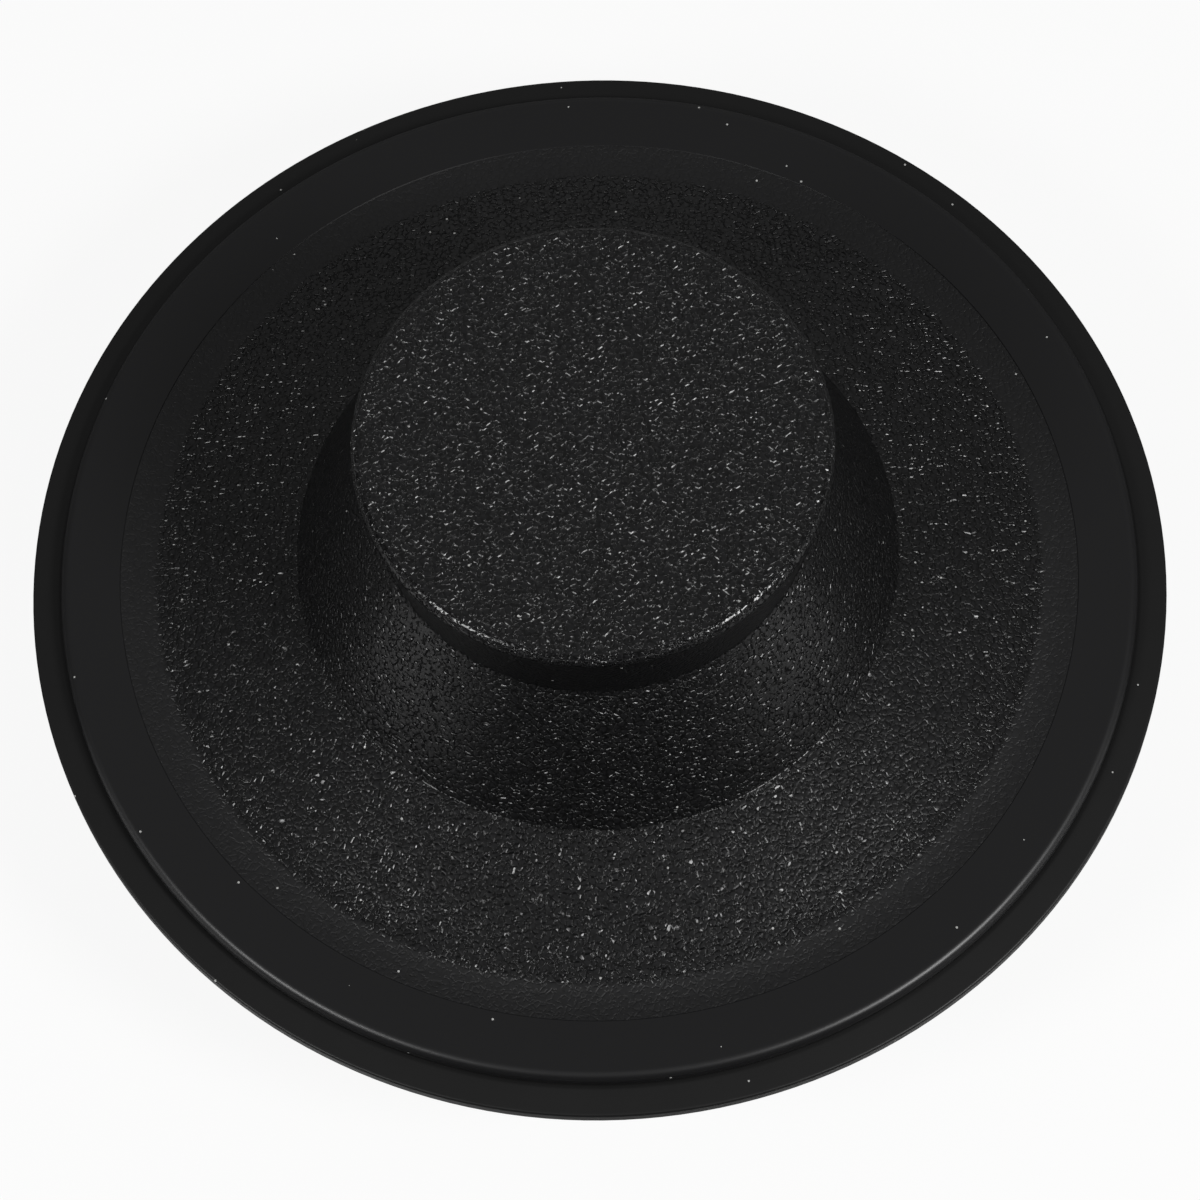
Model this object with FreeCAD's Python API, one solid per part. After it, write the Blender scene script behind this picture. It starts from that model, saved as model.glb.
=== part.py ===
import FreeCAD, Part
import math
import os

# Drain stopper for a kitchen sink or a food waste disposer, in millimetres.
# A moulded plastic cap with a waisted pull knob sits on a rubber gasket. A guide ring below
# clamps the gasket and drops into the drain, and one screw from below holds the stack together.
# The origin is on the axis, on the plane that the guide ring stands on, with +Z up.

# Guide ring: a skirt that drops into the drain, a ledge that clamps the gasket, spokes and a hub.
GUIDE_RADIUS = 38.0
GUIDE_DEPTH = 13.0
GUIDE_WALL = 1.8
GUIDE_LEAD_IN = 1.6
GUIDE_LEAD_IN_DEG = 25.0
GUIDE_EDGE_ROUND = 0.4
GUIDE_SHOULDER_ROUND = 0.8
LEDGE_REACH = 1.6
LEDGE_THICKNESS = 1.8
LEDGE_ROUND = 1.0
SPOKE_COUNT = 4
SPOKE_THICKNESS = 1.8
SPOKE_DEPTH = 5.5
SPOKE_ARCH = 2.0
HUB_WALL = 2.4
SOCKET_DEPTH = 2.0
SOCKET_CLEARANCE = 0.2
SCREW_SEAT_THICKNESS = 2.0

# Gasket: a rubber ring with a sealing bead below and a free lip that thins towards its edge.
SEAL_WIDTH = 5.0
GASKET_THICKNESS = 2.0
GASKET_SLACK = 0.3
BEAD_WIDTH = 1.9
BEAD_DROP = 0.4
LIP_FALL = 0.2
LIP_EDGE_THICKNESS = 1.1
LIP_EDGE_ROUND = 0.4

# Cap outside: rim, plate that falls away from the knob, and the knob with its waist.
RIM_SETBACK = 2.25
RIM_THICKNESS = 1.3
RIM_SHOULDER_ROUND = 0.5
RIM_EDGE_ROUND = 0.35
BAND_WIDTH = 6.85
BAND_RISE_DEG = 4.5
VALLEY_ROUND = 10.0
PLATE_FALL_DEG = 14.2
FLARE_WIDTH = 6.5
FOOT_ROUND = 0.4
WAIST_RADIUS = 16.1
WAIST_HEIGHT = 10.8
WAIST_ROUND = 0.8
KNOB_LIP_OVERHANG = 1.25
KNOB_LIP_HEIGHT = 8.0
KNOB_LIP_ROUND = 0.6

# Cap inside: an even wall, a collar that centres the gasket, and a ribbed screw boss.
PLATE_WALL = 2.0
KNOB_WALL = 2.2
TOP_WALL = 2.2
CORE_DRAFT_DEG = 1.0
INNER_ROUND = 0.8
CLAMP_WIDTH = 3.4
COLLAR_WALL = 2.2
COLLAR_GAP = 0.3
BOSS_RADIUS = 4.0
BOSS_DRAFT_DEG = 0.5
BOSS_RIB_COUNT = 4
BOSS_RIB_THICKNESS = 1.5
BOSS_RIB_DROP = 12.0
BOSS_RIB_DROP_AT_WALL = 4.5

# Screw: a pan head tapping screw with a cross recess.
SCREW_HEAD_RADIUS = 3.8
SCREW_HEAD_HEIGHT = 2.4
SCREW_HEAD_ROUND = 1.5
SCREW_CORE_RADIUS = 1.5
SCREW_LENGTH = 16.0
SCREW_POINT = 2.5
SCREW_POINT_RADIUS = 0.4
PILOT_CLEARANCE = 0.15
PILOT_EXTRA_DEPTH = 1.5
SCREW_HOLE_CLEARANCE = 0.6
HEAD_CLEARANCE = 0.7
RECESS_SPAN = 4.4
RECESS_WIDTH = 0.9
RECESS_DEPTH = 1.6
RECESS_FLOOR_SPAN = 1.8
RECESS_ARM_COUNT = 4

FULL_TURN_DEG = 360.0
# A rounding uses at most this share of the shorter straight run beside its corner.
ROUND_SHARE = 0.48

AXIS_POINT = FreeCAD.Vector(0, 0, 0)
AXIS = FreeCAD.Vector(0, 0, 1)


def slope(degrees):
    """Rise over run of a surface at this angle."""
    return math.tan(math.radians(degrees))


def point(radius, height):
    """A point of a section, in the half plane through +X."""
    return FreeCAD.Vector(radius, 0, height)


def meet(first, first_way, second, second_way):
    """Where a line through one section point crosses a line through another."""
    cross = first_way.x * second_way.z - first_way.z * second_way.x
    gap = second - first
    along = (gap.x * second_way.z - gap.z * second_way.x) / cross
    return first + first_way * along


def inward(start, end, distance):
    """The offset that moves the line from start to end to its right by a distance."""
    way = (end - start).normalize()
    return FreeCAD.Vector(way.z, 0, -way.x) * distance


def section(corners):
    """A closed face from corners, each a point and the radius that rounds it off."""
    count = len(corners)
    entries = []
    exits = []
    arcs = []
    for index, (corner, radius) in enumerate(corners):
        back = corners[index - 1][0] - corner
        ahead = corners[(index + 1) % count][0] - corner
        room = ROUND_SHARE * min(back.Length, ahead.Length)
        back.normalize()
        ahead.normalize()
        half = back.getAngle(ahead) / 2
        reach = min(radius / math.tan(half), room)
        entries.append(corner + back * reach)
        exits.append(corner + ahead * reach)
        if reach:
            middle = (back + ahead).normalize()
            depth = reach / math.cos(half) - reach * math.tan(half)
            arcs.append(Part.Arc(entries[-1], corner + middle * depth, exits[-1]).toShape())
        else:
            arcs.append(None)
    edges = []
    for index in range(count):
        if arcs[index]:
            edges.append(arcs[index])
        edges.append(Part.LineSegment(exits[index], entries[(index + 1) % count]).toShape())
    return Part.Face(Part.Wire(edges))


def turned(corners):
    """A solid of revolution about the stopper's axis."""
    return section(corners).revolve(AXIS_POINT, AXIS, FULL_TURN_DEG)


def fins(profile, thickness, count):
    """Equal upright fins of one side profile, spread evenly round the axis."""
    side = FreeCAD.Vector(0, thickness, 0)
    fin = profile.translated(side * -0.5).extrude(side)
    copies = []
    for index in range(count):
        copy = fin.copy()
        copy.rotate(AXIS_POINT, AXIS, index * FULL_TURN_DEG / count)
        copies.append(copy)
    return copies


# Radii, from the guide ring outwards and inwards, and of the knob.
gasket_radius = GUIDE_RADIUS + SEAL_WIDTH
rim_radius = gasket_radius - RIM_SETBACK
valley_radius = rim_radius - BAND_WIDTH
collar_radius = GUIDE_RADIUS - CLAMP_WIDTH
collar_inside = collar_radius - COLLAR_WALL
foot_radius = WAIST_RADIUS + FLARE_WIDTH
knob_lip_radius = WAIST_RADIUS + KNOB_LIP_OVERHANG
pilot_radius = SCREW_CORE_RADIUS + PILOT_CLEARANCE

# Levels of the stack, from the plane that the guide ring stands on upwards.
gasket_top = GUIDE_DEPTH + GASKET_THICKNESS
rim_top = gasket_top + RIM_THICKNESS
valley_level = rim_top - BAND_WIDTH * slope(BAND_RISE_DEG)
foot_level = valley_level + (valley_radius - foot_radius) * slope(PLATE_FALL_DEG)
waist_level = foot_level + WAIST_HEIGHT
knob_top = waist_level + KNOB_LIP_HEIGHT
ceiling = knob_top - TOP_WALL
boss_tip = GUIDE_DEPTH - SOCKET_DEPTH
screw_seat = boss_tip - SCREW_SEAT_THICKNESS
screw_end = screw_seat + SCREW_LENGTH


def build_cap():
    """The moulded cap: knob, plate and rim outside, hollow with a ribbed screw boss inside."""
    lip = point(knob_lip_radius, knob_top)
    waist = point(WAIST_RADIUS, waist_level)
    foot = point(foot_radius, foot_level)
    valley = point(valley_radius, valley_level)
    shoulder = point(rim_radius, rim_top)

    # The inner faces run parallel to the outer ones, one wall inside them.
    upward = FreeCAD.Vector(0, 0, 1)
    outward = FreeCAD.Vector(1, 0, 0)
    core_way = FreeCAD.Vector(-slope(CORE_DRAFT_DEG), 0, 1)
    core_waist = waist - outward * KNOB_WALL
    under_flare = foot + inward(waist, foot, KNOB_WALL)
    under_plate = foot + inward(foot, valley, PLATE_WALL)
    collar_bottom = GUIDE_DEPTH + COLLAR_GAP
    plate_end = meet(under_plate, valley - foot, point(collar_inside, collar_bottom), upward)
    inner_foot = meet(under_flare, waist - foot, under_plate, valley - foot)
    inner_waist = meet(under_flare, waist - foot, core_waist, core_way)
    core_top = meet(core_waist, core_way, point(0, ceiling), outward)
    boss_root = BOSS_RADIUS + (ceiling - boss_tip) * slope(BOSS_DRAFT_DEG)
    pilot_end = screw_end + PILOT_EXTRA_DEPTH

    shell = turned([
        (point(0, knob_top), 0),
        (lip, KNOB_LIP_ROUND),
        (waist, WAIST_ROUND),
        (foot, FOOT_ROUND),
        (valley, VALLEY_ROUND),
        (shoulder, RIM_SHOULDER_ROUND),
        (point(rim_radius, gasket_top), RIM_EDGE_ROUND),
        (point(collar_radius, gasket_top), 0),
        (point(collar_radius, collar_bottom), 0),
        (point(collar_inside, collar_bottom), 0),
        (plate_end, 0),
        (inner_foot, INNER_ROUND),
        (inner_waist, INNER_ROUND),
        (core_top, INNER_ROUND),
        (point(boss_root, ceiling), INNER_ROUND),
        (point(BOSS_RADIUS, boss_tip), 0),
        (point(pilot_radius, boss_tip), 0),
        (point(pilot_radius, pilot_end), 0),
        (point(0, pilot_end), 0),
    ])

    # Each rib starts inside the boss wall and ends inside the knob wall and the top wall.
    rib_start = (pilot_radius + BOSS_RADIUS) / 2
    rib_end = core_top.x + KNOB_WALL / 2
    rib_top = ceiling + TOP_WALL / 2
    rib = section([
        (point(rib_start, rib_top), 0),
        (point(rib_end, rib_top), 0),
        (point(rib_end, ceiling - BOSS_RIB_DROP_AT_WALL), 0),
        (point(rib_start, ceiling - BOSS_RIB_DROP), 0),
    ])
    return shell.fuse(fins(rib, BOSS_RIB_THICKNESS, BOSS_RIB_COUNT)).removeSplitter()


def build_gasket():
    """The rubber ring: a web clamped under the rim, a sealing bead, and the lip outside it."""
    bore = collar_radius + GASKET_SLACK
    bead_inside = GUIDE_RADIUS + GASKET_SLACK
    bead_level = GUIDE_DEPTH - BEAD_DROP
    edge_top = gasket_top - LIP_FALL
    return turned([
        (point(bore, gasket_top), 0),
        (point(rim_radius, gasket_top), 0),
        (point(gasket_radius, edge_top), LIP_EDGE_ROUND),
        (point(gasket_radius, edge_top - LIP_EDGE_THICKNESS), LIP_EDGE_ROUND),
        (point(bead_inside + BEAD_WIDTH, bead_level), 0),
        (point(bead_inside, bead_level), 0),
        (point(bead_inside, GUIDE_DEPTH), 0),
        (point(bore, GUIDE_DEPTH), 0),
    ])


def build_guide():
    """The guide ring: skirt with a lead-in, clamping ledge, arched spokes and a screw hub."""
    inside = GUIDE_RADIUS - GUIDE_WALL
    ledge_inside = collar_radius - LEDGE_REACH
    ledge_under = GUIDE_DEPTH - LEDGE_THICKNESS
    lead_in_radius = GUIDE_RADIUS - GUIDE_LEAD_IN * slope(GUIDE_LEAD_IN_DEG)
    skirt = turned([
        (point(ledge_inside, GUIDE_DEPTH), GUIDE_EDGE_ROUND),
        (point(GUIDE_RADIUS, GUIDE_DEPTH), GUIDE_SHOULDER_ROUND),
        (point(GUIDE_RADIUS, GUIDE_LEAD_IN), GUIDE_EDGE_ROUND),
        (point(lead_in_radius, 0), 0),
        (point(inside, 0), 0),
        (point(inside, ledge_under), LEDGE_ROUND),
        (point(ledge_inside, ledge_under), GUIDE_EDGE_ROUND),
    ])

    socket = BOSS_RADIUS + SOCKET_CLEARANCE
    head_room = SCREW_HEAD_RADIUS + HEAD_CLEARANCE
    screw_hole = SCREW_CORE_RADIUS + SCREW_HOLE_CLEARANCE
    hub_radius = max(socket, head_room) + HUB_WALL
    hub_bottom = screw_seat - SCREW_HEAD_HEIGHT
    hub = turned([
        (point(socket, GUIDE_DEPTH), 0),
        (point(hub_radius, GUIDE_DEPTH), GUIDE_EDGE_ROUND),
        (point(hub_radius, hub_bottom), GUIDE_EDGE_ROUND),
        (point(head_room, hub_bottom), 0),
        (point(head_room, screw_seat), 0),
        (point(screw_hole, screw_seat), 0),
        (point(screw_hole, boss_tip), 0),
        (point(socket, boss_tip), 0),
    ])

    # Each spoke starts inside the hub wall, ends inside the skirt wall and is arched below.
    start = hub_radius - HUB_WALL / 2
    end = GUIDE_RADIUS - GUIDE_WALL / 2
    low = GUIDE_DEPTH - SPOKE_DEPTH
    crown = point((start + end) / 2, low + SPOKE_ARCH)
    spoke = Part.Face(Part.Wire([
        Part.LineSegment(point(start, low), point(start, GUIDE_DEPTH)).toShape(),
        Part.LineSegment(point(start, GUIDE_DEPTH), point(end, GUIDE_DEPTH)).toShape(),
        Part.LineSegment(point(end, GUIDE_DEPTH), point(end, low)).toShape(),
        Part.Arc(point(end, low), crown, point(start, low)).toShape(),
    ]))
    return skirt.fuse([hub] + fins(spoke, SPOKE_THICKNESS, SPOKE_COUNT)).removeSplitter()


def build_screw():
    """The screw, its head down in the hub and its point up in the cap's boss."""
    head_bottom = screw_seat - SCREW_HEAD_HEIGHT
    screw = turned([
        (point(0, head_bottom), 0),
        (point(SCREW_HEAD_RADIUS, head_bottom), SCREW_HEAD_ROUND),
        (point(SCREW_HEAD_RADIUS, screw_seat), 0),
        (point(SCREW_CORE_RADIUS, screw_seat), 0),
        (point(SCREW_CORE_RADIUS, screw_end - SCREW_POINT), 0),
        (point(SCREW_POINT_RADIUS, screw_end), 0),
        (point(0, screw_end), 0),
    ])
    recess_floor = head_bottom + RECESS_DEPTH
    arm = section([
        (point(0, head_bottom), 0),
        (point(RECESS_SPAN / 2, head_bottom), 0),
        (point(RECESS_FLOOR_SPAN / 2, recess_floor), 0),
        (point(0, recess_floor), 0),
    ])
    return screw.cut(fins(arm, RECESS_WIDTH, RECESS_ARM_COUNT))


os.makedirs("parts", exist_ok=True)
build_cap().exportStep("parts/knob_cap.step")
build_gasket().exportStep("parts/seal_gasket.step")
build_guide().exportStep("parts/guide_ring.step")
build_screw().exportStep("parts/retaining_screw.step")
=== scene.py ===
import math

import bpy
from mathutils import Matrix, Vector


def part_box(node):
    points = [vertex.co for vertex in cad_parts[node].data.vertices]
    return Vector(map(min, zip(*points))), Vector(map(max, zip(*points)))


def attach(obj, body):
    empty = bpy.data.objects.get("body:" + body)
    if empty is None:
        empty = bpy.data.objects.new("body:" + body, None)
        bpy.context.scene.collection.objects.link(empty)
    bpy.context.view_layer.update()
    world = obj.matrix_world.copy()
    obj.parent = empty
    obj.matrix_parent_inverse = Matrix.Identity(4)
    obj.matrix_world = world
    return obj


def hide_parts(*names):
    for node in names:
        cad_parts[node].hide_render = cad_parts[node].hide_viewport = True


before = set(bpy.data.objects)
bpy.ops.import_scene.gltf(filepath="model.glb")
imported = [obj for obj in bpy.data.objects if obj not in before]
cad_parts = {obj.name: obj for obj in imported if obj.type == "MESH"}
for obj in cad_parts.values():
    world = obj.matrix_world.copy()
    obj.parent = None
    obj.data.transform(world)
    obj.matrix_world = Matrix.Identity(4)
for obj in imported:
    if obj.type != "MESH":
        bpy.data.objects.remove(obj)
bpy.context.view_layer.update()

# The knob cap is one moulding in black ABS: a hollow pull knob with a flat top and a drawn-in waist,
# a plate that falls away to a shallow valley, and a smooth rim with a rounded shoulder. Its mould was
# etched with a fine leather grain, which ends at a thin line on the rim band.
MM = 0.001
cap_low, cap_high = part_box("knob_cap")
gasket_low, gasket_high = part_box("seal_gasket")
guide_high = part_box("guide_ring")[1]

knob_top = cap_high.z
rim_radius = cap_high.x
rim_under = gasket_high.z
boss_tip = cap_low.z

RIM_THICKNESS = 1.3 * MM
RIM_SHOULDER_ROUND = 0.65 * MM
RIM_EDGE_ROUND = 0.35 * MM
BAND_WIDTH = 6.85 * MM
BAND_RISE = math.radians(4.5)
VALLEY_ROUND = 10.0 * MM
PLATE_FALL = math.radians(14.2)
WAIST_RADIUS = 16.1 * MM
WAIST_ROUND = 0.8 * MM
FLARE_WIDTH = 6.5 * MM
FOOT_ROUND = 0.2 * MM
KNOB_LIP_OVERHANG = 1.25 * MM
KNOB_LIP_HEIGHT = 8.0 * MM
KNOB_LIP_ROUND = 0.75 * MM
PLATE_WALL = 2.0 * MM
KNOB_WALL = 2.2 * MM
CORE_DRAFT = math.radians(1.0)
INNER_ROUND = 0.8 * MM
COLLAR_RADIUS = 34.6 * MM
COLLAR_WALL = 2.2 * MM
COLLAR_GAP = 0.3 * MM
BOSS_RADIUS = 4.0 * MM
BOSS_DRAFT = math.radians(0.5)
PILOT_RADIUS = 1.65 * MM
PILOT_END = 26.5 * MM

rim_top = rim_under + RIM_THICKNESS
valley = Vector((rim_radius - BAND_WIDTH, rim_top - BAND_WIDTH * math.tan(BAND_RISE)))
foot_radius = WAIST_RADIUS + FLARE_WIDTH
foot = Vector((foot_radius, valley.y + (valley.x - foot_radius) * math.tan(PLATE_FALL)))
waist = Vector((WAIST_RADIUS, knob_top - KNOB_LIP_HEIGHT))

# The inside runs one wall below the outside.
ceiling = knob_top - KNOB_WALL
collar_bottom = guide_high.z + COLLAR_GAP
collar_inside = COLLAR_RADIUS - COLLAR_WALL
core_waist = WAIST_RADIUS - KNOB_WALL
core_top = core_waist - (ceiling - waist.y) * math.tan(CORE_DRAFT)
flare_slope = (foot.y - waist.y) / (foot.x - waist.x)
flare_drop = KNOB_WALL * math.hypot(1, flare_slope)
plate_slope = -math.tan(PLATE_FALL)
plate_drop = PLATE_WALL * math.hypot(1, plate_slope)
plate_end = foot.y - plate_drop + (collar_inside - foot.x) * plate_slope
inner_foot = foot.x + (flare_drop - plate_drop) / (flare_slope - plate_slope)
inner_foot_level = foot.y - plate_drop + (inner_foot - foot.x) * plate_slope
inner_waist_level = foot.y - flare_drop + (core_waist - foot.x) * flare_slope
boss_root = BOSS_RADIUS + (ceiling - boss_tip) * math.tan(BOSS_DRAFT)

ARC_STEP = math.radians(9)
FEWEST_ARC_STEPS = 3
RING_SPACING = 0.9 * MM
RING_BESIDE_ARC = 0.1 * MM
TURN_STEPS = 192
MERGE_DISTANCE = 0.001 * MM
SMOOTH_ANGLE = math.radians(28)


def outline(corners):
    """The points of a half section. Each corner is (radius, height, rounding)."""
    stretches = []
    for index, (radius, height, rounding) in enumerate(corners):
        corner = Vector((radius, height))
        back = (Vector(corners[index - 1][:2]) - corner).normalized()
        ahead = (Vector(corners[(index + 1) % len(corners)][:2]) - corner).normalized()
        if not rounding:
            stretches.append([corner])
            continue
        half = back.angle(ahead) / 2
        centre = corner + (back + ahead).normalized() * rounding / math.sin(half)
        entry = corner + back * rounding / math.tan(half) - centre
        leaving = corner + ahead * rounding / math.tan(half) - centre
        steps = max(FEWEST_ARC_STEPS, math.ceil((math.pi - 2 * half) / ARC_STEP))
        turns = [entry.slerp(leaving, step / steps) for step in range(steps + 1)]
        stretches.append([centre + turn.normalized() * rounding for turn in turns])
    points = list(stretches[0])
    for arc in stretches[1:] + [stretches[0][:1]]:
        start = points[-1]
        run = arc[0] - start
        if run.length > 3 * RING_BESIDE_ARC:
            near = RING_BESIDE_ARC / run.length
            count = math.ceil(run.length / RING_SPACING)
            points += [start + run * near]
            points += [start + run * step / count for step in range(1, count)]
            points += [start + run * (1 - near)]
        points += arc
    return points


def drawn(name, points):
    """A chain of edges in the plane of a half section, drawn vertex by vertex and left selected."""
    bpy.ops.object.select_all(action="DESELECT")
    bpy.ops.mesh.primitive_plane_add(size=MM)
    piece = bpy.context.object
    piece.name = name
    piece.data.name = name
    bpy.ops.object.mode_set(mode="EDIT")
    bpy.ops.mesh.select_mode(type="VERT")
    bpy.ops.mesh.select_all(action="SELECT")
    bpy.ops.mesh.merge(type="CENTER")
    bpy.ops.transform.translate(value=(points[0].x, 0, points[0].y))
    for start, end in zip(points, points[1:]):
        step = (end.x - start.x, 0, end.y - start.y)
        bpy.ops.mesh.extrude_vertices_move(TRANSFORM_OT_translate={"value": step})
    bpy.ops.mesh.select_all(action="SELECT")
    return piece


def turned(name, corners, closed):
    """A turned piece: half its section is drawn, then spun about the axis."""
    points = outline(corners)
    if not closed:
        axis_run = points.index(Vector(corners[-1][:2]))
        points = points[:axis_run + 1]
    piece = drawn(name, points)
    bpy.ops.mesh.spin(steps=TURN_STEPS, angle=math.tau, center=(0, 0, 0), axis=(0, 0, 1))
    bpy.ops.mesh.select_all(action="SELECT")
    bpy.ops.mesh.remove_doubles(threshold=MERGE_DISTANCE)
    bpy.ops.mesh.normals_make_consistent(inside=False)
    bpy.ops.object.mode_set(mode="OBJECT")
    bpy.ops.object.shade_smooth_by_angle(angle=SMOOTH_ANGLE)
    return piece


# The grain's edge is a step of a few hundredths, left by the etching of the mould.
GRAIN_EDGE_RADIUS = 36.2 * MM
GRAIN_EDGE_STEP = 0.06 * MM
band_slope = math.tan(BAND_RISE)
grain_edge = rim_top - (rim_radius - GRAIN_EDGE_RADIUS) * band_slope

knob_cap = turned("knob_cap_moulding", [
    (0, knob_top, 0),
    (WAIST_RADIUS + KNOB_LIP_OVERHANG, knob_top, KNOB_LIP_ROUND),
    (waist.x, waist.y, WAIST_ROUND),
    (foot.x, foot.y, FOOT_ROUND),
    (valley.x, valley.y, VALLEY_ROUND),
    (GRAIN_EDGE_RADIUS, grain_edge, 0),
    (GRAIN_EDGE_RADIUS + GRAIN_EDGE_STEP, grain_edge + GRAIN_EDGE_STEP, 0),
    (rim_radius, rim_top, RIM_SHOULDER_ROUND),
    (rim_radius, rim_under, RIM_EDGE_ROUND),
    (COLLAR_RADIUS, rim_under, 0),
    (COLLAR_RADIUS, collar_bottom, 0),
    (collar_inside, collar_bottom, 0),
    (collar_inside, plate_end, 0),
    (inner_foot, inner_foot_level, INNER_ROUND),
    (core_waist, inner_waist_level, INNER_ROUND),
    (core_top, ceiling, INNER_ROUND),
    (boss_root, ceiling, INNER_ROUND),
    (BOSS_RADIUS, boss_tip, 0),
    (PILOT_RADIUS, boss_tip, 0),
    (PILOT_RADIUS, PILOT_END, 0),
    (0, PILOT_END, 0),
], closed=False)


def move_corners(piece, chosen, step):
    """Move the vertices of a piece that a test of their place chooses."""
    bpy.ops.object.mode_set(mode="EDIT")
    bpy.ops.mesh.select_mode(type="VERT")
    bpy.ops.mesh.select_all(action="DESELECT")
    bpy.ops.object.mode_set(mode="OBJECT")
    for vertex in piece.data.vertices:
        vertex.select = chosen(vertex.co)
    bpy.ops.object.mode_set(mode="EDIT")
    bpy.ops.transform.translate(value=step)
    bpy.ops.object.mode_set(mode="OBJECT")


def combine(piece, tool, operation):
    """Join a tool body to a piece, or cut it out of the piece, and remove the tool."""
    boolean = piece.modifiers.new("combine", "BOOLEAN")
    boolean.operation = operation
    boolean.solver = "EXACT"
    boolean.object = tool
    bpy.context.view_layer.objects.active = piece
    bpy.ops.object.modifier_apply(modifier=boolean.name)
    bpy.data.objects.remove(tool)


# Four ribs brace the boss against the knob's wall and its top.
RIB_COUNT = 4
RIB_THICKNESS = 1.5 * MM
RIB_DROP = 12.0 * MM
RIB_DROP_AT_WALL = 4.5 * MM
rib_start = (PILOT_RADIUS + BOSS_RADIUS) / 2
rib_end = core_top + KNOB_WALL / 2
rib_top = ceiling + KNOB_WALL / 2
for rib_number in range(RIB_COUNT):
    bpy.ops.object.select_all(action="DESELECT")
    bpy.ops.mesh.primitive_cube_add(
        size=1,
        location=((rib_start + rib_end) / 2, 0, (rib_top + ceiling - RIB_DROP_AT_WALL) / 2),
        scale=(rib_end - rib_start, RIB_THICKNESS, rib_top - ceiling + RIB_DROP_AT_WALL),
    )
    rib = bpy.context.object
    bpy.ops.object.transform_apply(location=True, rotation=True, scale=True)
    move_corners(rib, lambda at: at.z < ceiling and at.x < core_top, (0, 0, RIB_DROP_AT_WALL - RIB_DROP))
    rib.rotation_euler.z = rib_number * math.tau / RIB_COUNT
    bpy.ops.object.transform_apply(location=False, rotation=True, scale=False)
    combine(knob_cap, rib, "UNION")
bpy.ops.object.select_all(action="DESELECT")
knob_cap.select_set(True)
bpy.ops.object.shade_smooth_by_angle(angle=SMOOTH_ANGLE)


def linear(hex_colour):
    """A colour written as sRGB hex, turned to the linear values that shaders take."""
    parts = [int(hex_colour[place:place + 2], 16) / 255 for place in (1, 3, 5)]
    return [part / 12.92 if part <= 0.04045 else ((part + 0.055) / 1.055) ** 2.4 for part in parts] + [1.0]


def add_node(tree, kind, inputs, **settings):
    """Add a node with its settings, and put a value or a link into each named input."""
    node = tree.nodes.new(kind)
    for name, value in settings.items():
        setattr(node, name, value)
    for name, value in inputs.items():
        if isinstance(value, bpy.types.NodeSocket):
            tree.links.new(value, node.inputs[name])
        else:
            node.inputs[name].default_value = value
    return node


def new_material(name):
    """An empty node material, with its object coordinates, shader and output."""
    material = bpy.data.materials.new(name)
    material.use_nodes = True
    tree = material.node_tree
    tree.nodes.clear()
    place = add_node(tree, "ShaderNodeTexCoord", {}).outputs["Object"]
    shader = add_node(tree, "ShaderNodeBsdfPrincipled", {})
    add_node(tree, "ShaderNodeOutputMaterial", {"Surface": shader.outputs["BSDF"]})
    return material, tree, place, shader


# Black ABS off an etched mould: low, rounded pebbles with fine, broken grooves between them. The pebbles
# stay near black, and the walls of the grooves that face a lamp glint as short dashes. The grooves also
# carry a painted shade: their colour is darker than the plastic's.
CAP_COLOUR = "#161617"
GROOVE_SHADE_COLOUR = "#040404"
DUST_COLOUR = "#b4b4b2"
GRAIN_PITCH = 0.44 * MM
GRAIN_WARP = 0.09 * MM
GRAIN_WARP_SIZE = 0.5 * MM
NOISE_MIDDLE = 0.5
GRAIN_DEPTH = 0.056 * MM
GROOVE_HALF_WIDTH = 0.087 * MM
GROOVE_BREAK_SIZE = 0.32 * MM
GROOVE_GONE, GROOVE_WHOLE = 0.45, 0.55
PEBBLE_RISE = 0.014 * MM
PEBBLE_HALF_WIDTH = 0.2 * MM
GRAIN_FULL_RADIUS = 33.2 * MM
GRAIN_FAINT_RADIUS = 33.8 * MM
GRAIN_FAINT = 0.4
LIP_POLISHED_RADIUS = 16.6 * MM
LIP_POLISHED_DEPTH = 0.9 * MM
GRAIN_ROUGHNESS = 0.28
VALLEY_ROUGHNESS = 0.45
BAND_ROUGHNESS = 0.38
LIP_ROUGHNESS = 0.2
ABS_IOR = 1.5
DUST_SPACING = 2.2 * MM
DUST_SIZE = 0.09 * MM

grained_abs, tree, place, shader = new_material("black ABS, moulded with leather grain")
warp = add_node(tree, "ShaderNodeTexNoise", {"Vector": place, "Scale": 1 / GRAIN_WARP_SIZE, "Detail": 1.0})
warp = add_node(
    tree, "ShaderNodeVectorMath",
    {0: warp.outputs["Color"], 1: (NOISE_MIDDLE, NOISE_MIDDLE, NOISE_MIDDLE)},
    operation="SUBTRACT",
)
warp = add_node(
    tree, "ShaderNodeVectorMath",
    {0: warp.outputs["Vector"], 1: (GRAIN_WARP, GRAIN_WARP, GRAIN_WARP), 2: place},
    operation="MULTIPLY_ADD",
)
grain = add_node(
    tree, "ShaderNodeTexVoronoi", {"Vector": warp.outputs["Vector"], "Scale": 1 / GRAIN_PITCH},
    feature="DISTANCE_TO_EDGE",
)
groove = add_node(
    tree, "ShaderNodeMapRange",
    {"Value": grain.outputs["Distance"], "From Max": GROOVE_HALF_WIDTH / GRAIN_PITCH,
     "To Min": 1.0, "To Max": 0.0},
)
broken = add_node(
    tree, "ShaderNodeTexNoise", {"Vector": place, "Scale": 1 / GROOVE_BREAK_SIZE, "Detail": 1.0},
)
broken = add_node(
    tree, "ShaderNodeMapRange",
    {"Value": broken.outputs["Fac"], "From Min": GROOVE_GONE, "From Max": GROOVE_WHOLE},
    interpolation_type="SMOOTHSTEP",
)
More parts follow.
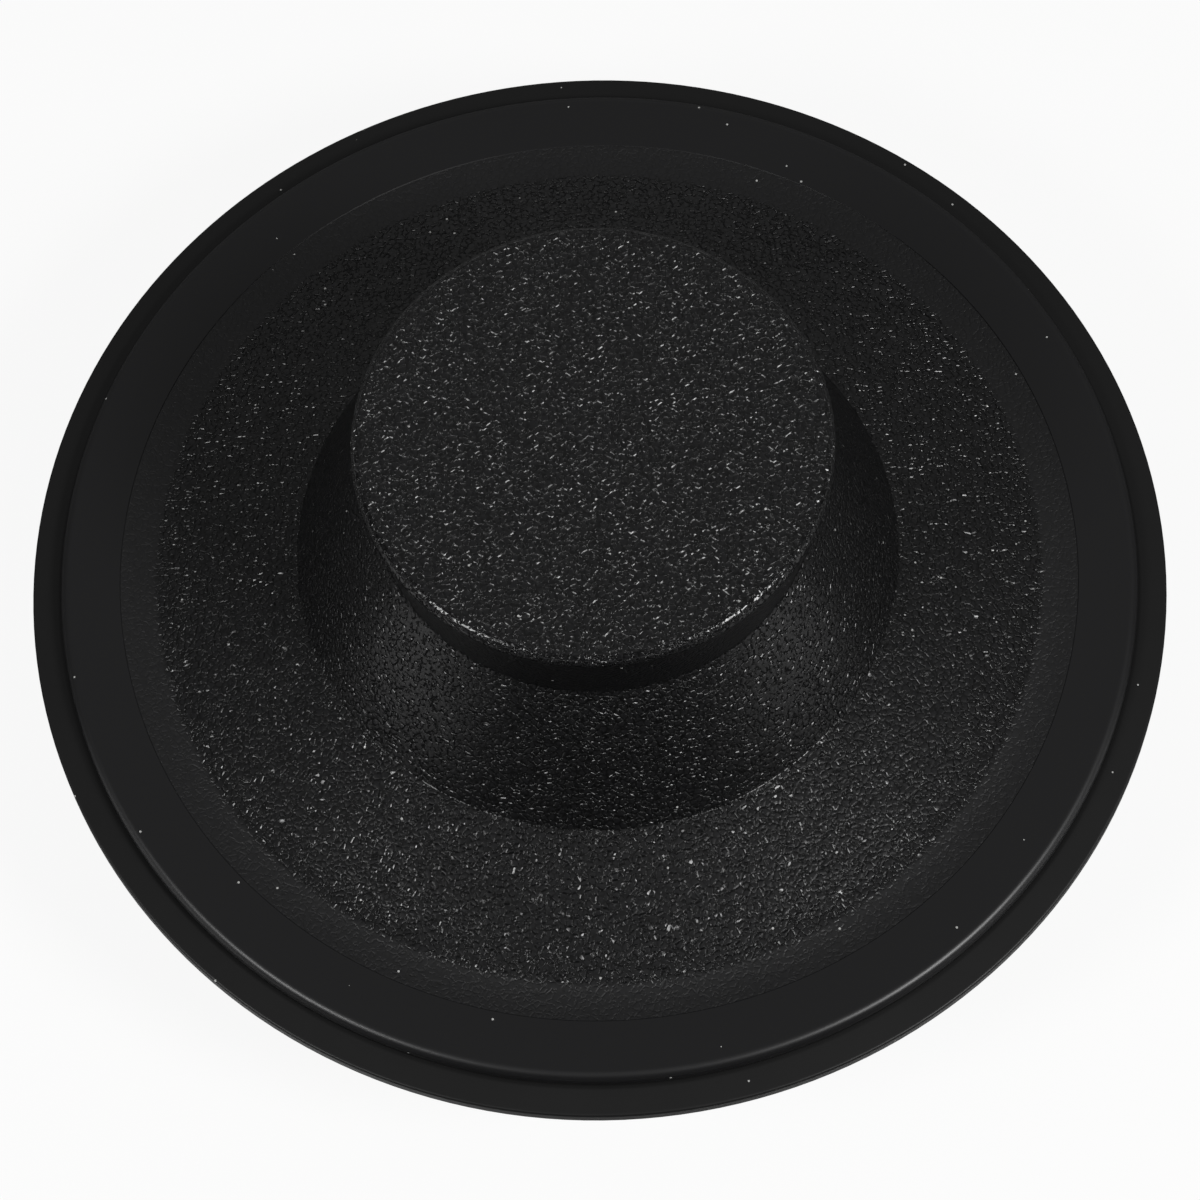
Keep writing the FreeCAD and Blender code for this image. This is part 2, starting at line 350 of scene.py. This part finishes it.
pebble = add_node(
    tree, "ShaderNodeMapRange",
    {"Value": grain.outputs["Distance"], "From Max": PEBBLE_HALF_WIDTH / GRAIN_PITCH,
     "To Min": PEBBLE_RISE / GRAIN_DEPTH, "To Max": 0.0},
    interpolation_type="SMOOTHSTEP",
)
depth = add_node(
    tree, "ShaderNodeMath",
    {0: groove.outputs["Result"], 1: broken.outputs["Result"], 2: pebble.outputs["Result"]},
    operation="MULTIPLY_ADD",
)

# The grain is full on the knob and the plate, faint in the valley and gone past the edge line. Fingers
# have polished the knob's lip, which keeps its grain.
across = add_node(tree, "ShaderNodeVectorMath", {0: place, 1: (1, 1, 0)}, operation="MULTIPLY")
radius = add_node(tree, "ShaderNodeVectorMath", {0: across.outputs["Vector"]}, operation="LENGTH")
height = add_node(tree, "ShaderNodeSeparateXYZ", {"Vector": place})
fading = add_node(
    tree, "ShaderNodeMapRange",
    {"Value": radius.outputs["Value"], "From Min": GRAIN_FULL_RADIUS, "From Max": GRAIN_FAINT_RADIUS,
     "To Min": 1.0, "To Max": GRAIN_FAINT},
    interpolation_type="SMOOTHSTEP",
)
inside = add_node(
    tree, "ShaderNodeMath", {0: radius.outputs["Value"], 1: GRAIN_EDGE_RADIUS}, operation="LESS_THAN",
)
grained = add_node(
    tree, "ShaderNodeMath", {0: fading.outputs["Result"], 1: inside.outputs["Value"]}, operation="MULTIPLY",
)
near_edge = add_node(
    tree, "ShaderNodeMath", {0: radius.outputs["Value"], 1: LIP_POLISHED_RADIUS}, operation="GREATER_THAN",
)
near_top = add_node(
    tree, "ShaderNodeMath", {0: height.outputs["Z"], 1: knob_top - LIP_POLISHED_DEPTH},
    operation="GREATER_THAN",
)
polished = add_node(
    tree, "ShaderNodeMath", {0: near_edge.outputs["Value"], 1: near_top.outputs["Value"]},
    operation="MULTIPLY",
)
bump = add_node(
    tree, "ShaderNodeBump",
    {"Strength": grained.outputs["Value"], "Distance": GRAIN_DEPTH, "Height": depth.outputs["Value"]},
    invert=True,
)
gloss = add_node(
    tree, "ShaderNodeMapRange",
    {"Value": fading.outputs["Result"], "From Min": GRAIN_FAINT,
     "To Min": VALLEY_ROUGHNESS, "To Max": GRAIN_ROUGHNESS},
)
gloss = add_node(
    tree, "ShaderNodeMix",
    {"Factor": inside.outputs["Value"], "A": BAND_ROUGHNESS, "B": gloss.outputs["Result"]},
)
gloss = add_node(
    tree, "ShaderNodeMix",
    {"Factor": polished.outputs["Value"], "A": gloss.outputs["Result"], "B": LIP_ROUGHNESS},
)
# Painted shade: the grain's grooves are painted darker, standing in for the shade that falls in them.
groove_shade = add_node(
    tree, "ShaderNodeMath", {0: groove.outputs["Result"], 1: grained.outputs["Value"]}, operation="MULTIPLY",
)
colour = add_node(
    tree, "ShaderNodeMix",
    {"Factor": groove_shade.outputs["Value"], "A": linear(CAP_COLOUR), "B": linear(GROOVE_SHADE_COLOUR)},
    data_type="RGBA",
)
dust = add_node(tree, "ShaderNodeTexVoronoi", {"Vector": place, "Scale": 1 / DUST_SPACING})
speck = add_node(
    tree, "ShaderNodeMath", {0: dust.outputs["Distance"], 1: DUST_SIZE / DUST_SPACING},
    operation="LESS_THAN",
)
colour = add_node(
    tree, "ShaderNodeMix",
    {"Factor": speck.outputs["Value"], "A": colour.outputs["Result"], "B": linear(DUST_COLOUR)},
    data_type="RGBA",
)
tree.links.new(colour.outputs["Result"], shader.inputs["Base Color"])
tree.links.new(bump.outputs["Normal"], shader.inputs["Normal"])
tree.links.new(gloss.outputs["Result"], shader.inputs["Roughness"])
shader.inputs["IOR"].default_value = ABS_IOR

# The same ABS where the mould's core was left as it was ground: plain and a little duller.
CORE_CLOUD_SIZE = 3.0 * MM
CORE_SMOOTHEST, CORE_DULLEST = 0.36, 0.5
plain_abs, tree, place, shader = new_material("black ABS, moulded on a ground core")
cloud = add_node(tree, "ShaderNodeTexNoise", {"Vector": place, "Scale": 1 / CORE_CLOUD_SIZE, "Detail": 4.0})
dull = add_node(
    tree, "ShaderNodeMapRange",
    {"Value": cloud.outputs["Fac"], "To Min": CORE_SMOOTHEST, "To Max": CORE_DULLEST},
)
tree.links.new(dull.outputs["Result"], shader.inputs["Roughness"])
shader.inputs["Base Color"].default_value = linear(CAP_COLOUR)
shader.inputs["IOR"].default_value = ABS_IOR

# The etched half of the mould made the faces above the rim's underside that look up or outwards.
LOOKS_UP = 0.1
LOOKS_OUT = 0.5
CLEAR_OF_BOSS = BOSS_RADIUS * 2
knob_cap.data.materials.clear()
knob_cap.data.materials.append(grained_abs)
knob_cap.data.materials.append(plain_abs)
for face in knob_cap.data.polygons:
    out = Vector((face.center.x, face.center.y, 0))
    looks_out = face.normal.dot(out.normalized()) > LOOKS_OUT and out.length > CLEAR_OF_BOSS
    etched = face.center.z > rim_under and (face.normal.z > LOOKS_UP or looks_out)
    face.material_index = 0 if etched else 1
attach(knob_cap, "root")
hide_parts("knob_cap")

# The seal gasket is a ring of black nitrile rubber. Its web is clamped under the rim, a bead below
# seals on the drain's seat, and its thin lip stands out past the rim all round.
GASKET_BORE = 34.9 * MM
BEAD_INSIDE = 38.3 * MM
BEAD_WIDTH = 1.9 * MM
LIP_FALL = 0.2 * MM
LIP_EDGE_THICKNESS = 1.1 * MM
LIP_EDGE_ROUND = 0.2 * MM
lip_radius = gasket_high.x
lip_top = gasket_high.z - LIP_FALL
seal_gasket = turned("seal_gasket_rubber", [
    (GASKET_BORE, gasket_high.z, 0),
    (rim_radius, gasket_high.z, 0),
    (lip_radius, lip_top, LIP_EDGE_ROUND),
    (lip_radius, lip_top - LIP_EDGE_THICKNESS, LIP_EDGE_ROUND),
    (BEAD_INSIDE + BEAD_WIDTH, gasket_low.z, 0),
    (BEAD_INSIDE, gasket_low.z, 0),
    (BEAD_INSIDE, guide_high.z, 0),
    (GASKET_BORE, guide_high.z, 0),
], closed=True)

# Nitrile rubber off a polished mould: satin, a little greyer than the plastic, with a soft bloom. Beside the
# rim it carries a painted shade, darkest in the crevice.
RUBBER_COLOUR = "#171717"
CREVICE_SHADE_COLOUR = "#070707"
CREVICE_SHADE_WIDTH = 0.35 * MM
RUBBER_SHINE = 0.3
RUBBER_IOR = 1.5
RUBBER_SMOOTHEST, RUBBER_DULLEST = 0.4, 0.48
BLOOM_SIZE = 4.0 * MM
nitrile, tree, place, shader = new_material("black nitrile rubber, moulded")
bloom = add_node(tree, "ShaderNodeTexNoise", {"Vector": place, "Scale": 1 / BLOOM_SIZE, "Detail": 5.0})
satin = add_node(
    tree, "ShaderNodeMapRange",
    {"Value": bloom.outputs["Fac"], "To Min": RUBBER_SMOOTHEST, "To Max": RUBBER_DULLEST},
)
dust = add_node(tree, "ShaderNodeTexVoronoi", {"Vector": place, "Scale": 1 / DUST_SPACING})
speck = add_node(
    tree, "ShaderNodeMath", {0: dust.outputs["Distance"], 1: DUST_SIZE / DUST_SPACING},
    operation="LESS_THAN",
)
across = add_node(tree, "ShaderNodeVectorMath", {0: place, 1: (1, 1, 0)}, operation="MULTIPLY")
radius = add_node(tree, "ShaderNodeVectorMath", {0: across.outputs["Vector"]}, operation="LENGTH")
# Painted shade: the rubber is painted darker in a narrow ring beside the rim, where shade falls in the
# crevice.
clear = add_node(
    tree, "ShaderNodeMapRange",
    {"Value": radius.outputs["Value"],
     "From Min": rim_radius + CREVICE_SHADE_WIDTH / 2, "From Max": rim_radius + CREVICE_SHADE_WIDTH},
)
colour = add_node(
    tree, "ShaderNodeMix",
    {"Factor": clear.outputs["Result"], "A": linear(CREVICE_SHADE_COLOUR), "B": linear(RUBBER_COLOUR)},
    data_type="RGBA",
)
colour = add_node(
    tree, "ShaderNodeMix",
    {"Factor": speck.outputs["Value"], "A": colour.outputs["Result"], "B": linear(DUST_COLOUR)},
    data_type="RGBA",
)
tree.links.new(colour.outputs["Result"], shader.inputs["Base Color"])
tree.links.new(satin.outputs["Result"], shader.inputs["Roughness"])
shader.inputs["Specular IOR Level"].default_value = RUBBER_SHINE
shader.inputs["IOR"].default_value = RUBBER_IOR
seal_gasket.data.materials.clear()
seal_gasket.data.materials.append(nitrile)
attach(seal_gasket, "root")
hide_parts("seal_gasket")

# The guide ring is moulded in the same black ABS: a skirt that drops into the drain, a ledge that
# clamps the gasket, and four arched spokes that carry the hub for the screw.

# Its mould was finished by spark erosion, which leaves the ABS finely and evenly matt.
SPARK_SIZE = 0.35 * MM
SPARK_DEPTH = 0.012 * MM
SPARK_ROUGHNESS = 0.42
spark_abs, tree, place, shader = new_material("black ABS, moulded with a spark finish")
spark = add_node(tree, "ShaderNodeTexNoise", {"Vector": place, "Scale": 1 / SPARK_SIZE, "Detail": 3.0})
bump = add_node(tree, "ShaderNodeBump", {"Distance": SPARK_DEPTH, "Height": spark.outputs["Fac"]})
tree.links.new(bump.outputs["Normal"], shader.inputs["Normal"])
shader.inputs["Base Color"].default_value = linear(CAP_COLOUR)
shader.inputs["Roughness"].default_value = SPARK_ROUGHNESS
shader.inputs["IOR"].default_value = ABS_IOR
guide_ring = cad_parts["guide_ring"]
guide_ring.data.materials.clear()
guide_ring.data.materials.append(spark_abs)

# The retaining screw is a stainless pan head tapping screw, formed from wire. It is driven up through
# the hub, and its thread has cut into the boss inside the knob.
screw_low, screw_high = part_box("retaining_screw")
HEAD_HEIGHT = 2.4 * MM
HEAD_ROUND = 1.5 * MM
CORE_RADIUS = 1.5 * MM
POINT_LENGTH = 2.5 * MM
POINT_RADIUS = 0.4 * MM
THREAD_RADIUS = 2.0 * MM
THREAD_PITCH = 1.4 * MM
THREAD_FOOT = 0.7 * MM
THREAD_STEPS = 32
THREAD_TURNS = 9
THREAD_BITE = 0.15 * MM
RECESS_BLADES = 2
RECESS_SPAN = 4.4 * MM
RECESS_WIDTH = 0.9 * MM
RECESS_DEPTH = 1.6 * MM
RECESS_FLOOR_SPAN = 1.8 * MM

head_seat = screw_low.z + HEAD_HEIGHT
retaining_screw = turned("retaining_screw_pan_head", [
    (0, screw_low.z, 0),
    (screw_high.x, screw_low.z, HEAD_ROUND),
    (screw_high.x, head_seat, 0),
    (CORE_RADIUS, head_seat, 0),
    (CORE_RADIUS, screw_high.z - POINT_LENGTH, 0),
    (POINT_RADIUS, screw_high.z, 0),
    (0, screw_high.z, 0),
], closed=False)

# The thread is one tooth of its section, wound up the core.
thread_foot = screw_high.z - POINT_LENGTH - THREAD_PITCH * THREAD_TURNS
thread = drawn("thread", [
    Vector((CORE_RADIUS - THREAD_BITE, thread_foot - THREAD_FOOT / 2)),
    Vector((THREAD_RADIUS, thread_foot)),
    Vector((CORE_RADIUS - THREAD_BITE, thread_foot + THREAD_FOOT / 2)),
])
bpy.ops.mesh.edge_face_add()
bpy.ops.object.mode_set(mode="OBJECT")
wind = thread.modifiers.new("wind", "SCREW")
wind.screw_offset = THREAD_PITCH
wind.iterations = THREAD_TURNS
wind.steps = THREAD_STEPS
wind.render_steps = THREAD_STEPS
bpy.ops.object.modifier_apply(modifier=wind.name)
bpy.ops.object.mode_set(mode="EDIT")
bpy.ops.mesh.select_all(action="SELECT")
bpy.ops.mesh.remove_doubles(threshold=MERGE_DISTANCE)
bpy.ops.mesh.fill_holes(sides=0)
bpy.ops.mesh.normals_make_consistent(inside=False)
bpy.ops.object.mode_set(mode="OBJECT")
combine(retaining_screw, thread, "UNION")

# A cross recess, narrower at its floor, takes the driver.
draw_in = (RECESS_SPAN - RECESS_FLOOR_SPAN) / 2
for blade_number in range(RECESS_BLADES):
    bpy.ops.object.select_all(action="DESELECT")
    bpy.ops.mesh.primitive_cube_add(
        size=1, location=(0, 0, screw_low.z), scale=(RECESS_SPAN, RECESS_WIDTH, RECESS_DEPTH * 2),
    )
    blade = bpy.context.object
    bpy.ops.object.transform_apply(location=True, rotation=True, scale=True)
    for side in (1, -1):
        move_corners(blade, lambda at: at.z > screw_low.z and at.x * side > 0, (-side * draw_in, 0, 0))
    blade.rotation_euler.z = blade_number * math.pi / RECESS_BLADES
    bpy.ops.object.transform_apply(location=False, rotation=True, scale=False)
    combine(retaining_screw, blade, "DIFFERENCE")
bpy.ops.object.select_all(action="DESELECT")
retaining_screw.select_set(True)
bpy.ops.object.shade_smooth_by_angle(angle=SMOOTH_ANGLE)

# Stainless steel as cold forming leaves it: bright, with small duller patches.
STEEL_COLOUR = "#c9c6c0"
PATCH_SIZE = 0.4 * MM
STEEL_SMOOTHEST, STEEL_DULLEST = 0.22, 0.4
steel, tree, place, shader = new_material("stainless steel, cold formed")
patches = add_node(tree, "ShaderNodeTexNoise", {"Vector": place, "Scale": 1 / PATCH_SIZE, "Detail": 4.0})
formed = add_node(
    tree, "ShaderNodeMapRange",
    {"Value": patches.outputs["Fac"], "To Min": STEEL_SMOOTHEST, "To Max": STEEL_DULLEST},
)
tree.links.new(formed.outputs["Result"], shader.inputs["Roughness"])
shader.inputs["Base Color"].default_value = linear(STEEL_COLOUR)
shader.inputs["Metallic"].default_value = 1.0
retaining_screw.data.materials.clear()
retaining_screw.data.materials.append(steel)
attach(retaining_screw, "root")
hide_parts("retaining_screw")

# The floor is a plain sweep of white paper under the stopper, turned up at its far edges. What the
# camera sees of it, straight or in a mirror, is mostly its own white, so that the shadow stays faint,
# as on a lit table.
FLOOR_SIZE = 6.0
SWEEP_RISE = 0.65
FLOOR_COLOUR = "#f0f0ef"
FLOOR_ROUGHNESS = 0.9
FLOOR_GLOW = 0.9
bpy.ops.object.select_all(action="DESELECT")
bpy.ops.mesh.primitive_plane_add(size=FLOOR_SIZE, location=(0, 0, 0))
floor = bpy.context.object
floor.name = "floor"
bpy.ops.object.mode_set(mode="EDIT")
bpy.ops.mesh.select_mode(type="EDGE")
bpy.ops.mesh.select_all(action="DESELECT")
bpy.ops.mesh.select_non_manifold()
bpy.ops.mesh.extrude_edges_move(TRANSFORM_OT_translate={"value": (0, 0, SWEEP_RISE)})
bpy.ops.mesh.select_all(action="SELECT")
bpy.ops.mesh.normals_make_consistent(inside=True)
bpy.ops.object.mode_set(mode="OBJECT")
paper, tree, place, shader = new_material("white paper sweep")
shader.inputs["Base Color"].default_value = linear(FLOOR_COLOUR)
shader.inputs["Roughness"].default_value = FLOOR_ROUGHNESS
shader.inputs["Specular IOR Level"].default_value = 0.0
glow = add_node(tree, "ShaderNodeEmission", {"Color": (1, 1, 1, 1), "Strength": 1.0})
light_path = add_node(tree, "ShaderNodeLightPath", {})
seen = add_node(
    tree, "ShaderNodeMath",
    {0: light_path.outputs["Is Camera Ray"], 1: light_path.outputs["Is Glossy Ray"]},
    operation="ADD",
)
seen = add_node(
    tree, "ShaderNodeMath", {0: seen.outputs["Value"], 1: light_path.outputs["Is Transmission Ray"]},
    operation="ADD",
)
seen = add_node(tree, "ShaderNodeMath", {0: seen.outputs["Value"], 1: FLOOR_GLOW}, operation="MULTIPLY")
sweep = add_node(
    tree, "ShaderNodeMixShader",
    {"Fac": seen.outputs["Value"], 1: shader.outputs["BSDF"], 2: glow.outputs["Emission"]},
)
tree.links.new(sweep.outputs["Shader"], tree.nodes["Material Output"].inputs["Surface"])
floor.data.materials.append(paper)

# A ring of card stands round the stopper, outside the picture, as it does when glossy black things are
# photographed. It is black in front, white at its front corners and grey behind. It is there for mirror
# images only and throws no shadow.
FLAG_FOOT_RADIUS = 44 * MM
FLAG_TOP_RADIUS = 120 * MM
FLAG_HEIGHT = 45 * MM
FLAG_SIDES = 96
FLAG_SHADES = [
    # place from front to back, shade of the card there
    (-78 * MM, "#202020"),
    (-54 * MM, "#686868"),
    (-42 * MM, "#ffffff"),
    (-22 * MM, "#ffffff"),
    (-8 * MM, "#707070"),
]
bpy.ops.object.select_all(action="DESELECT")
bpy.ops.mesh.primitive_cone_add(
    vertices=FLAG_SIDES, radius1=FLAG_FOOT_RADIUS, radius2=FLAG_TOP_RADIUS, depth=FLAG_HEIGHT,
    end_fill_type="NOTHING", location=(0, 0, FLAG_HEIGHT / 2),
)
flag = bpy.context.object
flag.name = "black_card_ring"
bpy.ops.object.transform_apply(location=True, rotation=True, scale=True)
card, tree, place, shader = new_material("black card")
ahead = add_node(tree, "ShaderNodeSeparateXYZ", {"Vector": place})
along = add_node(
    tree, "ShaderNodeMapRange",
    {"Value": ahead.outputs["Y"], "From Min": -FLAG_TOP_RADIUS, "From Max": FLAG_TOP_RADIUS},
)
shade = add_node(tree, "ShaderNodeValToRGB", {"Fac": along.outputs["Result"]})
shade.color_ramp.elements.remove(shade.color_ramp.elements[1])
for number, (place_along, card_colour) in enumerate(FLAG_SHADES):
    share = (place_along + FLAG_TOP_RADIUS) / (2 * FLAG_TOP_RADIUS)
    stop = shade.color_ramp.elements[0] if number == 0 else shade.color_ramp.elements.new(share)
    stop.position = share
    stop.color = linear(card_colour)
tree.links.new(shade.outputs["Color"], shader.inputs["Base Color"])
shader.inputs["Roughness"].default_value = 1.0
shader.inputs["Specular IOR Level"].default_value = 0.0
flag.data.materials.append(card)
flag.visible_camera = False
flag.visible_shadow = False
flag.visible_diffuse = False

# The light is a dim room, brighter towards the back, a faint lamp overhead, and two soft boxes at the
# sides of the camera, the right one a little stronger, which make the grain glint.
ROOM_BRIGHTENS = (0.1, 1.0, 0.45)
ROOM_DARK_UNTIL, ROOM_BRIGHT_FROM = 0.3, 1.1
ROOM_DARKEST, ROOM_BRIGHTEST = 0.02, 0.26
world = bpy.data.worlds.new("dim studio")
bpy.context.scene.world = world
world.use_nodes = True
tree = world.node_tree
room = add_node(tree, "ShaderNodeTexCoord", {})
room = add_node(
    tree, "ShaderNodeVectorMath", {0: room.outputs["Generated"], 1: ROOM_BRIGHTENS}, operation="DOT_PRODUCT",
)
room = add_node(
    tree, "ShaderNodeMapRange",
    {"Value": room.outputs["Value"], "From Min": ROOM_DARK_UNTIL, "From Max": ROOM_BRIGHT_FROM,
     "To Min": ROOM_DARKEST, "To Max": ROOM_BRIGHTEST},
)
tree.links.new(room.outputs["Result"], tree.nodes["Background"].inputs["Color"])

aim = Vector((0, 0, rim_under))
lamps = [
    # name, azimuth from the front, elevation, distance, diameter, watts
    ("overhead lamp", 0, 86, 0.6, 0.22, 0.04),
    ("right soft box", 55, 45, 0.5, 0.155, 1.5),
    ("left soft box", -55, 45, 0.5, 0.155, 0.97),
]
for name, azimuth, elevation, distance, diameter, watts in lamps:
    light = bpy.data.lights.new(name, "AREA")
    light.shape = "DISK"
    light.size = diameter
    light.energy = watts
    lamp = bpy.data.objects.new(name, light)
    bpy.context.scene.collection.objects.link(lamp)
    turn, rise = math.radians(azimuth), math.radians(elevation)
    out = Vector((math.sin(turn) * math.cos(rise), -math.cos(turn) * math.cos(rise), math.sin(rise)))
    lamp.location = aim + out * distance
    lamp.rotation_mode = "QUATERNION"
    lamp.rotation_quaternion = out.to_track_quat("Z", "Y")

# The camera looks down on the stopper from the front, a little rolled, as the picture was taken. Its
# angles and lens were fitted to the ellipses of the knob, the rim and the rubber lip.
CAMERA_DISTANCE = 0.3
CAMERA_ELEVATION = math.radians(65.9)
CAMERA_PITCH = math.radians(66.36)
CAMERA_ROLL = math.radians(2.58)
CAMERA_LENS = 118.5
CAMERA_SENSOR = 36.0
NEAREST_SEEN = 0.01
camera_data = bpy.data.cameras.new("camera")
camera_data.lens = CAMERA_LENS
camera_data.sensor_width = CAMERA_SENSOR
camera_data.clip_start = NEAREST_SEEN
camera = bpy.data.objects.new("camera", camera_data)
bpy.context.scene.collection.objects.link(camera)
camera.location = (
    0,
    -CAMERA_DISTANCE * math.cos(CAMERA_ELEVATION),
    lip_top + CAMERA_DISTANCE * math.sin(CAMERA_ELEVATION),
)
camera.rotation_mode = "ZYX"
camera.rotation_euler = (math.pi / 2 - CAMERA_PITCH, 0, -CAMERA_ROLL)
bpy.context.scene.camera = camera
bpy.context.scene.view_settings.view_transform = "Standard"
